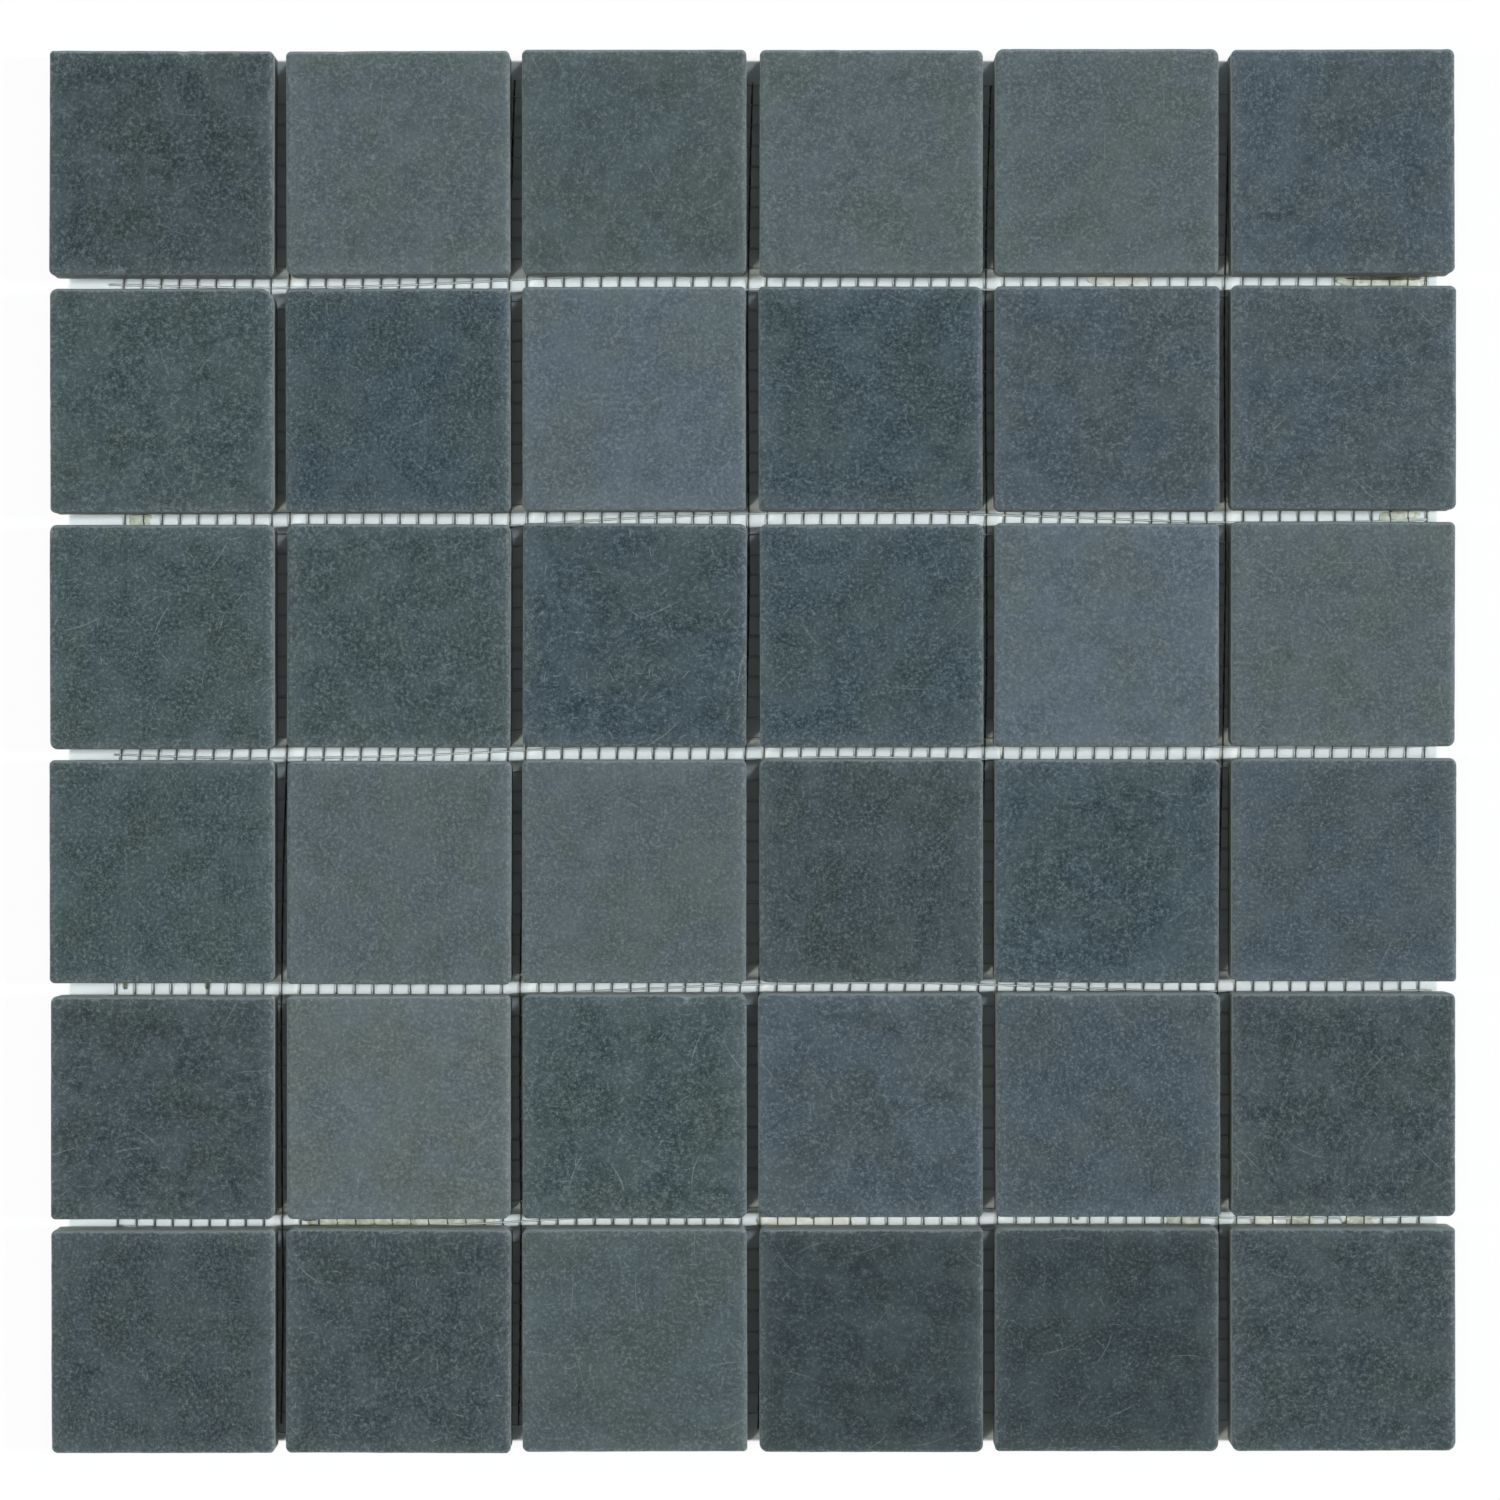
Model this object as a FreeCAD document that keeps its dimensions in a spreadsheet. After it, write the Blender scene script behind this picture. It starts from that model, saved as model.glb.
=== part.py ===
import FreeCAD, Part
import Sketcher
import math
import os
import random
from enum import IntEnum

# Mosaic tile sheet: square stone chips on an open net of glass-fibre yarns.
# The origin is under the middle of the sheet, on the plane that it lies on.
# +X runs across the sheet, +Y up the sheet and +Z out of the finished face.
# Every length is in millimetres and every angle in degrees.

SIZES = {
    # The grid of chips
    "chips_across": 6,
    "chips_down": 6,
    "joint_across": 2.55,
    "joint_down": 2.4,
    # One chip
    "chip_side": 48.0,
    "chip_thickness": 10.0,
    "corner_radius": 1.9,
    "arris_radius": 1.3,
    # How far chips differ from the nominal one
    "side_scatter": 0.18,
    "thickness_scatter": 0.12,
    "place_scatter": 0.18,
    "turn_scatter": 0.2,
    # How the rows were laid: each joint a little narrower than the one above,
    # and each chip a little higher than the one at its left
    "joint_taper": 0.18,
    "row_rise": 0.11,
    # The net: its warp yarns run along Y and its weft yarns along X
    "warp_pitch": 3.955,
    "warp_width": 0.5,
    "warp_thickness": 0.25,
    "weft_pitch": 4.41,
    "weft_width": 0.6,
    "weft_thickness": 0.25,
    # How far the net stays inside the edges of the sheet, and how it lies
    "margin_left": 12.8,
    "margin_right": 4.4,
    "margin_top": 5.9,
    "margin_bottom": 3.7,
    "warp_turn": -0.6,
    "weft_turn": 0.6,
}

# Sizes that follow from the ones above, as sheet formulas
DERIVED = {
    "pitch_across": "=chip_side + joint_across",
    "pitch_down": "=chip_side + joint_down",
    "sheet_width": "=chips_across * chip_side + (chips_across - 1) * joint_across",
    "sheet_depth": "=chips_down * chip_side + (chips_down - 1) * joint_down",
    "net_width": "=sheet_width - margin_left - margin_right",
    "net_depth": "=sheet_depth - margin_top - margin_bottom",
    "net_thickness": "=warp_thickness + weft_thickness",
    "warp_count": "=floor(net_width / warp_pitch) + 1",
    "weft_count": "=floor(net_depth / weft_pitch) + 1",
}

# How far the frame that trims the corners of a chip stands outside its sides
TRIM_CLEARANCE = 1.0


class Side(IntEnum):
    """Order in which the sides of a rectangle are drawn."""

    BOTTOM = 0
    RIGHT = 1
    TOP = 2
    LEFT = 3


class Point(IntEnum):
    """How the sketcher numbers the points of an edge."""

    START = 1
    END = 2
    CENTRE = 3


class Fixed(IntEnum):
    """How the sketcher numbers the geometry that every sketch has."""

    ORIGIN = -1
    Y_AXIS = -2


def make_sheet(doc):
    """Write the driving sizes and the ones that follow from them."""
    sheet = doc.addObject("Spreadsheet::Sheet", "Sizes")
    rows = list(SIZES.items()) + list(DERIVED.items())
    for row, (name, value) in enumerate(rows, start=1):
        sheet.set(f"A{row}", name)
        sheet.set(f"B{row}", str(value))
        sheet.setAlias(f"B{row}", name)
    doc.recompute()
    return sheet


def origin_feature(body, role):
    """Find a body's own origin plane or axis."""
    return next(item for item in body.Origin.OriginFeatures if item.Role == role)


def new_sketch(body, name):
    """Start a sketch on the horizontal plane of a body."""
    sketch = body.newObject("Sketcher::SketchObject", name)
    sketch.AttachmentSupport = [(origin_feature(body, "XY_Plane"), "")]
    sketch.MapMode = "FlatFace"
    return sketch


def bind(sketch, constraint, name, formula):
    """Add a named dimension to a sketch and tie it to the sheet."""
    number = sketch.addConstraint(constraint)
    sketch.renameConstraint(number, name)
    sketch.setExpression(f"Constraints.{name}", formula)


def turn_about_z(body, angle):
    """Tie the turn of a body about the upright axis to the sheet."""
    quarter_turn = FreeCAD.Rotation(FreeCAD.Vector(0, 0, 1), 90.0)
    body.Placement = FreeCAD.Placement(FreeCAD.Vector(0, 0, 0), quarter_turn)
    body.setExpression("Placement.Rotation.Angle", angle)


def scatter(chip_name, kind):
    """Draw a chip's share, from -1 to 1, of one kind of scatter, the same on every run."""
    draw = random.Random(f"{chip_name} {kind}")
    return round(draw.uniform(-1.0, 1.0), 3)


def draw_rectangle(sketch, label, width, depth, below="0"):
    """Draw a rectangle whose middle lies on the Y axis, at or below the origin."""
    half_width = sketch.evalExpression(width) / 2
    low = -sketch.evalExpression(f"{below} + ({depth}) / 2")
    high = low + sketch.evalExpression(depth)
    corners = ((-half_width, low), (half_width, low), (half_width, high), (-half_width, high))
    bottom = sketch.GeometryCount
    sides = tuple(bottom + side for side in Side)
    for number, start in enumerate(corners):
        end = corners[(number + 1) % 4]
        line = Part.LineSegment(FreeCAD.Vector(*start, 0), FreeCAD.Vector(*end, 0))
        sketch.addGeometry(line, False)
    for number, side in enumerate(sides):
        next_side = sides[(number + 1) % 4]
        sketch.addConstraint(Sketcher.Constraint("Coincident", side, Point.END, next_side, Point.START))
    sketch.addConstraint(Sketcher.Constraint("Horizontal", sides[Side.TOP]))
    sketch.addConstraint(Sketcher.Constraint("Vertical", sides[Side.RIGHT]))
    sketch.addConstraint(Sketcher.Constraint("Vertical", sides[Side.LEFT]))
    ends = (bottom, Point.START, bottom, Point.END)
    sketch.addConstraint(Sketcher.Constraint("Symmetric", *ends, Fixed.Y_AXIS))

    across = Sketcher.Constraint("DistanceX", *ends, 2 * half_width)
    bind(sketch, across, f"{label}_width", width)
    right = sides[Side.RIGHT]
    down = Sketcher.Constraint("DistanceY", right, Point.START, right, Point.END, high - low)
    bind(sketch, down, f"{label}_depth", depth)
    origin = (Fixed.ORIGIN, Point.START)
    drop = Sketcher.Constraint("DistanceY", bottom, Point.START, *origin, -low)
    bind(sketch, drop, f"{label}_drop", f"{below} + ({depth}) / 2")


def draw_rounded_rectangle(sketch, label, width, depth, radius):
    """Draw a rectangle with round corners, centred on the origin."""
    half_width = sketch.evalExpression(width) / 2
    half_depth = sketch.evalExpression(depth) / 2
    rounding = sketch.evalExpression(radius)
    flat_x = half_width - rounding
    flat_y = half_depth - rounding
    ends = (
        ((-flat_x, -half_depth), (flat_x, -half_depth)),
        ((half_width, -flat_y), (half_width, flat_y)),
        ((flat_x, half_depth), (-flat_x, half_depth)),
        ((-half_width, flat_y), (-half_width, -flat_y)),
    )
    sides = []
    for start, end in ends:
        line = Part.LineSegment(FreeCAD.Vector(*start, 0), FreeCAD.Vector(*end, 0))
        sides.append(sketch.addGeometry(line, False))
    centres = ((flat_x, -flat_y), (flat_x, flat_y), (-flat_x, flat_y), (-flat_x, -flat_y))
    corners = []
    for quarter, centre in enumerate(centres):
        start_angle = (quarter - 1) * math.pi / 2
        circle = Part.Circle(FreeCAD.Vector(*centre, 0), FreeCAD.Vector(0, 0, 1), rounding)
        arc = Part.ArcOfCircle(circle, start_angle, start_angle + math.pi / 2)
        corners.append(sketch.addGeometry(arc, False))

    for number, corner in enumerate(corners):
        next_side = sides[(number + 1) % 4]
        into = (sides[number], Point.END, corner, Point.START)
        sketch.addConstraint(Sketcher.Constraint("Tangent", *into))
        out_of = (corner, Point.END, next_side, Point.START)
        sketch.addConstraint(Sketcher.Constraint("Tangent", *out_of))
    sketch.addConstraint(Sketcher.Constraint("Horizontal", sides[Side.BOTTOM]))
    sketch.addConstraint(Sketcher.Constraint("Vertical", sides[Side.RIGHT]))
    for corner in corners[1:]:
        sketch.addConstraint(Sketcher.Constraint("Equal", corners[0], corner))
    opposite = (corners[0], Point.CENTRE, corners[2], Point.CENTRE)
    origin = (Fixed.ORIGIN, Point.START)
    sketch.addConstraint(Sketcher.Constraint("Symmetric", *opposite, *origin))

    left_to_right = (sides[Side.LEFT], Point.END, sides[Side.RIGHT], Point.START)
    across = Sketcher.Constraint("DistanceX", *left_to_right, 2 * half_width)
    bind(sketch, across, f"{label}_width", width)
    bottom_to_top = (sides[Side.BOTTOM], Point.START, sides[Side.TOP], Point.END)
    down = Sketcher.Constraint("DistanceY", *bottom_to_top, 2 * half_depth)
    bind(sketch, down, f"{label}_depth", depth)
    bind(sketch, Sketcher.Constraint("Radius", corners[0], rounding), f"{label}_radius", radius)


def edges_at_height(shape, height):
    """List the names of the edges that lie wholly at one height."""
    names = []
    for number, edge in enumerate(shape.Edges, start=1):
        if all(abs(vertex.Z - height) < 1e-6 for vertex in edge.Vertexes):
            names.append(f"Edge{number}")
    return names


def make_chip(doc, row, column):
    """Make one chip: a square block, its top arris rounded and its corners trimmed round."""
    name = f"chip_r{row + 1}_c{column + 1}"
    width = f"Sizes.chip_side + Sizes.side_scatter * {scatter(name, 'width')}"
    depth = f"Sizes.chip_side + Sizes.side_scatter * {scatter(name, 'depth')}"
    thickness = f"Sizes.chip_thickness + Sizes.thickness_scatter * {scatter(name, 'thickness')}"
    body = doc.addObject("PartDesign::Body", name)
    body.Label = name

    plan = new_sketch(body, f"{name}_plan")
    draw_rectangle(plan, "plan", width, depth)
    block = body.newObject("PartDesign::Pad", f"{name}_block")
    block.Profile = plan
    block.setExpression("Length", thickness)
    doc.recompute()

    arris = body.newObject("PartDesign::Fillet", f"{name}_arris")
    arris.Base = (block, edges_at_height(block.Shape, block.Length.Value))
    arris.setExpression("Radius", "Sizes.arris_radius")

    # The trim takes off what lies between a round-cornered plan and a wider frame
    trim = new_sketch(body, f"{name}_trim")
    draw_rounded_rectangle(trim, "inside", width, depth, "Sizes.corner_radius")
    clearance = 2 * TRIM_CLEARANCE
    draw_rectangle(trim, "outside", f"{width} + {clearance}", f"{depth} + {clearance}")
    corners = body.newObject("PartDesign::Pocket", f"{name}_corners")
    corners.Profile = trim
    corners.Type = "ThroughAll"
    corners.Reversed = True

    # Columns run along +X from the left, and rows run down the sheet from the top.
    # The joints above a row are the wide ones, so an inner row lies below an even pitch.
    steps_across = f"({column} - (Sizes.chips_across - 1) / 2)"
    steps_up = f"((Sizes.chips_down - 1) / 2 - {row})"
    sag = f"Sizes.joint_taper * {row} * (Sizes.chips_down - 1 - {row}) / 2"
    rise = f"{steps_across} * Sizes.row_rise"
    nudge_across = f"Sizes.place_scatter * {scatter(name, 'across')}"
    nudge_up = f"Sizes.place_scatter * {scatter(name, 'down')}"
    place_across = f"{steps_across} * Sizes.pitch_across + {nudge_across}"
    place_up = f"{steps_up} * Sizes.pitch_down - {sag} + {rise} + {nudge_up}"
    body.setExpression("Placement.Base.x", place_across)
    body.setExpression("Placement.Base.y", place_up)
    body.setExpression("Placement.Base.z", "Sizes.net_thickness")
    turn_about_z(body, f"Sizes.turn_scatter * {scatter(name, 'turn')}")
    return body


def make_yarn_layer(doc, kind, length, bottom, turn):
    """Make one layer of the net: parallel yarns, patterned at their pitch."""
    name = f"net_{kind}_yarns"
    body = doc.addObject("PartDesign::Body", name)
    body.Label = name

    # The first yarn lies as far below the middle as the pattern then climbs
    strip = new_sketch(body, f"{kind}_strip")
    reach = f"(Sizes.{kind}_count - 1) / 2 * Sizes.{kind}_pitch"
    draw_rectangle(strip, "yarn", length, f"Sizes.{kind}_width", reach)

    yarn = body.newObject("PartDesign::Pad", f"{kind}_yarn")
    yarn.Profile = strip
    yarn.setExpression("Length", f"Sizes.{kind}_thickness")
    doc.recompute()

    layer = body.newObject("PartDesign::LinearPattern", f"{kind}_layer")
    layer.Originals = [yarn]
    layer.Direction = (origin_feature(body, "Y_Axis"), [""])
    layer.Mode = "Spacing"
    layer.setExpression("Offset", f"Sizes.{kind}_pitch")
    layer.setExpression("Occurrences", f"Sizes.{kind}_count")
    body.Tip = layer

    turn_about_z(body, turn)
    body.setExpression("Placement.Base.x", "(Sizes.margin_left - Sizes.margin_right) / 2")
    body.setExpression("Placement.Base.y", "(Sizes.margin_bottom - Sizes.margin_top) / 2")
    body.setExpression("Placement.Base.z", bottom)
    return body


def make_net(doc):
    """Make the net: weft yarns lie lowest, and warp yarns cross over them."""
    weft = make_yarn_layer(doc, "weft", "Sizes.net_width", "0", "Sizes.weft_turn")
    upright = "Sizes.warp_turn + 90"
    warp = make_yarn_layer(doc, "warp", "Sizes.net_depth", "Sizes.weft_thickness", upright)
    return [weft, warp]


def check(doc, bodies):
    """Stop if any object failed, or any piece has no sound shape."""
    for item in doc.Objects:
        if "Invalid" in item.State or "Error" in item.State:
            raise RuntimeError(f"{item.Label} failed: {item.State}")
    for body in bodies:
        if body.Shape.isNull() or not body.Shape.isValid():
            raise RuntimeError(f"{body.Label} has no valid shape")


def main():
    """Build the sheet and write each piece to its own file."""
    doc = FreeCAD.newDocument("MosaicSheet")
    sheet = make_sheet(doc)
    bodies = make_net(doc)
    for row in range(int(sheet.chips_down)):
        for column in range(int(sheet.chips_across)):
            bodies.append(make_chip(doc, row, column))
    doc.recompute()
    check(doc, bodies)

    os.makedirs("parts", exist_ok=True)
    for body in bodies:
        body.Shape.exportStep(f"parts/{body.Label}.step")
    print(f"{len(bodies)} pieces written")


main()
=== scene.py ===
"""Looks of the mosaic tile sheet: six by six tumbled stone chips on an open glass-fibre net.

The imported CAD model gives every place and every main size. The chips, the yarns of the net and
the adhesive are built round it as surfaces worked out with numpy, in procedural materials.
Lengths are in metres, so a size in millimetres is written as a number times MM.
"""

import logging
import math
from collections.abc import Sequence
from dataclasses import dataclass
from enum import Enum, IntEnum
from typing import Any

import bpy
import numpy as np
from bpy.types import Material, Node, NodeSocket, NodeTree, Object
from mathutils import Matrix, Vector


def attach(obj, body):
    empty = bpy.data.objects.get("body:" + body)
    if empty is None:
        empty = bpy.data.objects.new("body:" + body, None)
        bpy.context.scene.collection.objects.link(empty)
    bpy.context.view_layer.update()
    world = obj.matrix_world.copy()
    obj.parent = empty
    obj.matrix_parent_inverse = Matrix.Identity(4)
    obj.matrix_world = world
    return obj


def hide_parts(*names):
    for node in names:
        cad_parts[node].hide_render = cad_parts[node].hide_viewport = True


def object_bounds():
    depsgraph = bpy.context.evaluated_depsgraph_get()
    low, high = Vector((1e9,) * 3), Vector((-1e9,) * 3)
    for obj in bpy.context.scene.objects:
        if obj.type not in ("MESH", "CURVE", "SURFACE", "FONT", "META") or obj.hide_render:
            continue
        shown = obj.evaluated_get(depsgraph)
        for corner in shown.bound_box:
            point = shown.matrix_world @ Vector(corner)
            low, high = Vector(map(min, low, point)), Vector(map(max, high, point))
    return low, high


MM = 0.001
ROOT = "root"
LOG = logging.getLogger("mosaic_sheet")

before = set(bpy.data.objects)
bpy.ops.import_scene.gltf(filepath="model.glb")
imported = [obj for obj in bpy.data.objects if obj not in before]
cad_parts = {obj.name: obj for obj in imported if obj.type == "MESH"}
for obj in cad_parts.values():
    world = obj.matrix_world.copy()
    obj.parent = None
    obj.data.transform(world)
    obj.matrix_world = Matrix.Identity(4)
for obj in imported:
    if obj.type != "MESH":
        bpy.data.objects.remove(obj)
CAD_LOW, CAD_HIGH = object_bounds()


# Helpers for meshes and nodes


def linear(hex_colour: str) -> tuple[float, float, float, float]:
    """Turns an sRGB hex colour into linear red, green, blue and alpha.

    Args:
        hex_colour: a colour such as "#46535a".

    Returns:
        The four channels that a Blender colour socket takes.
    """
    channels = np.array([int(hex_colour[start:start + 2], 16) for start in (1, 3, 5)]) / 255
    curve = np.where(channels <= 0.04045, channels / 12.92, ((channels + 0.055) / 1.055) ** 2.4)
    return (*curve.tolist(), 1.0)


def add_node(
    tree: NodeTree, kind: str, inputs: dict[str | int, Any] | None = None, **settings: Any
) -> Node:
    """Adds one node with its settings and links.

    Args:
        tree: the node tree that gets the node.
        kind: the node's Blender type after the word ShaderNode.
        inputs: for a socket's name or number, a plain value or the output that feeds it.
        settings: values of the node's own properties.

    Returns:
        The new node.
    """
    node = tree.nodes.new(f"ShaderNode{kind}")
    for name, value in settings.items():
        setattr(node, name, value)
    for socket, value in (inputs or {}).items():
        if isinstance(value, NodeSocket):
            tree.links.new(value, node.inputs[socket])
        else:
            node.inputs[socket].default_value = value
    return node


def attribute(tree: NodeTree, name: str, output: str = "Fac") -> NodeSocket:
    """Reads one of the values that a piece's points carry."""
    return add_node(tree, "Attribute", attribute_name=name).outputs[output]


def calculate(tree: NodeTree, operation: str, *values: Any) -> NodeSocket:
    """Adds a Math node that works on the given numbers or sockets, and returns its result."""
    return add_node(tree, "Math", dict(enumerate(values)), operation=operation).outputs[0]


def rescale(
    tree: NodeTree, value: NodeSocket, source: tuple[float, float],
    target: tuple[float, float] = (0.0, 1.0), smooth: bool = False,
) -> NodeSocket:
    """Maps a value from the source range to the target range, and keeps it inside."""
    ranges = dict(zip(("From Min", "From Max", "To Min", "To Max"), (*source, *target)))
    way = "SMOOTHSTEP" if smooth else "LINEAR"
    inputs = {"Value": value, **ranges}
    return add_node(tree, "MapRange", inputs, interpolation_type=way).outputs[0]


def blend(
    tree: NodeTree, share: NodeSocket, first: NodeSocket | str, second: NodeSocket | str,
    way: str = "MIX",
) -> NodeSocket:
    """Mixes a share of the second colour into the first. Each is a socket or hex text."""
    colours = [linear(part) if isinstance(part, str) else part for part in (first, second)]
    inputs = {0: share, 6: colours[0], 7: colours[1]}
    return add_node(tree, "Mix", inputs, data_type="RGBA", blend_type=way).outputs[2]


def noise(
    tree: NodeTree, place: NodeSocket, size: float, detail: float, roughness: float
) -> NodeSocket:
    """Adds noise, about 0.5 on average, whose largest clouds have the given size."""
    inputs = {"Vector": place, "Scale": 1 / size, "Detail": detail, "Roughness": roughness}
    return add_node(tree, "TexNoise", inputs).outputs["Fac"]


def voronoi(
    tree: NodeTree, place: NodeSocket, size: float, dimensions: str = "3D"
) -> bpy.types.bpy_prop_collection:
    """Adds a Voronoi pattern whose cells have the given size, and returns its outputs."""
    inputs = {"Vector": place, "Scale": 1 / size}
    return add_node(tree, "TexVoronoi", inputs, voronoi_dimensions=dimensions).outputs


def finish(
    tree: NodeTree, colour: NodeSocket, height: NodeSocket,
    relief: tuple[float, float], surface: dict[str, Any],
) -> None:
    """Ends a material: one surface with a colour and a relief.

    Args:
        tree: the material's node tree.
        colour: the base colour.
        height: the height of the relief.
        relief: its strength and its depth.
        surface: the other inputs of the surface.
    """
    inputs = {"Height": height, "Strength": relief[0], "Distance": relief[1]}
    bump = add_node(tree, "Bump", inputs).outputs[0]
    inputs = {"Base Color": colour, "Normal": bump, **surface}
    shader = add_node(tree, "BsdfPrincipled", inputs).outputs[0]
    add_node(tree, "OutputMaterial", {"Surface": shader})


def new_material(name: str) -> tuple[Material, NodeTree]:
    """Makes an empty node material.

    Args:
        name: the material's name.

    Returns:
        The material and its node tree.
    """
    material = bpy.data.materials.new(name)
    material.use_nodes = True
    material.node_tree.nodes.clear()
    return material, material.node_tree


def add_object(name: str, data: bpy.types.ID) -> Object:
    """Puts an object with the given data into the scene, at the origin."""
    thing = bpy.data.objects.new(name, data)
    bpy.context.scene.collection.objects.link(thing)
    return thing


def ring_faces(rings: int, around: int) -> np.ndarray:
    """Quads between rings of points, each ring closed on itself.

    Args:
        rings: how many rings there are.
        around: how many points each ring has.

    Returns:
        An array of four point numbers a face, outwards when the rings run down and turn left.
    """
    ring, step = np.meshgrid(np.arange(rings - 1), np.arange(around), indexing="ij")
    here = ring * around + step
    beside = ring * around + (step + 1) % around
    return np.stack([here, here + around, beside + around, beside], -1).reshape(-1, 4)


def fan(pole: int, ring: np.ndarray) -> np.ndarray:
    """Triangles from one point, the pole, to a closed ring of point numbers."""
    return np.stack([np.full(len(ring), pole), ring, np.roll(ring, -1)], -1)


def measured(parts: bpy.types.bpy_prop_collection, name: str, width: int = 3) -> np.ndarray:
    """Reads one property of all the points or faces of a mesh, width numbers for each."""
    values = np.empty(len(parts) * width)
    parts.foreach_get(name, values)
    return values.reshape(-1, width)


def periodic_noise(rng: np.random.Generator, turn: np.ndarray, waves: Sequence[int]) -> np.ndarray:
    """Smooth noise round a closed outline: a sum of cosines with random phases, from 0 to 1.

    Args:
        rng: the source of the phases.
        turn: how far round the outline each point is, from 0 to 1.
        waves: how many waves each cosine has round the outline.

    Returns:
        One value for each point.
    """
    phases = rng.uniform(0, 2 * math.pi, len(waves))
    total = sum(
        np.cos(2 * math.pi * wave * turn + phase) / len(waves)
        for wave, phase in zip(waves, phases)
    )
    return 0.5 + 0.5 * total


def new_piece(
    name: str, points: np.ndarray, faces: Sequence[np.ndarray], material: Material,
    attributes: dict[str, np.ndarray],
) -> Object:
    """Makes a smooth mesh object at the origin that rides on the sheet's body.

    Args:
        name: the piece's name.
        points: the places of its points.
        faces: arrays of point numbers, each array with faces of one size.
        material: its finish.
        attributes: values for each point by name: one number or three for each.

    Returns:
        The new object.
    """
    mesh = bpy.data.meshes.new(name)
    mesh.from_pydata(points.tolist(), [], [face for part in faces for face in part.tolist()])
    for key, values in attributes.items():
        if values.ndim == 1:
            mesh.attributes.new(key, "FLOAT", "POINT").data.foreach_set("value", values)
        else:
            layer = mesh.attributes.new(key, "FLOAT_VECTOR", "POINT")
            layer.data.foreach_set("vector", values.ravel())
    mesh.shade_smooth()
    mesh.materials.append(material)
    piece = add_object(name, mesh)
    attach(piece, ROOT)
    return piece


@dataclass(frozen=True)
class Seat:
    """The block that a CAD node fills: its turn about Z, and its box in that turned frame."""

    turn: float
    low: np.ndarray
    high: np.ndarray
    points: np.ndarray

    @classmethod
    def of(cls, node: str) -> "Seat":
        """Measures a CAD node. Its turn is that of its largest upright face, within an eighth turn.

        Args:
            node: the CAD node's name.

        Returns:
            The node's seat. Its points are in the turned frame.
        """
        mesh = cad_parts[node].data
        normals = measured(mesh.polygons, "normal")
        areas = measured(mesh.polygons, "area", 1)[:, 0]
        largest = normals[np.argmax(np.where(np.abs(normals[:, 2]) < 0.01, areas, 0))]
        heading = math.atan2(largest[1], largest[0])
        turn = (heading + math.pi / 4) % (math.pi / 2) - math.pi / 4
        turned = cls.turned(measured(mesh.vertices, "co"), -turn)
        return cls(turn, turned.min(0), turned.max(0), turned)

    @staticmethod
    def turned(points: np.ndarray, angle: float) -> np.ndarray:
        """Turns points about Z through the origin by an angle in radians."""
        cosine, sine = math.cos(angle), math.sin(angle)
        across = points[..., 0] * cosine - points[..., 1] * sine
        along = points[..., 0] * sine + points[..., 1] * cosine
        return np.stack([across, along, points[..., 2]], -1)

    def placed(self, points: np.ndarray) -> np.ndarray:
        """Brings points from the turned frame back to the sheet's frame."""
        return self.turned(points, self.turn)


# Finishes


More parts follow.
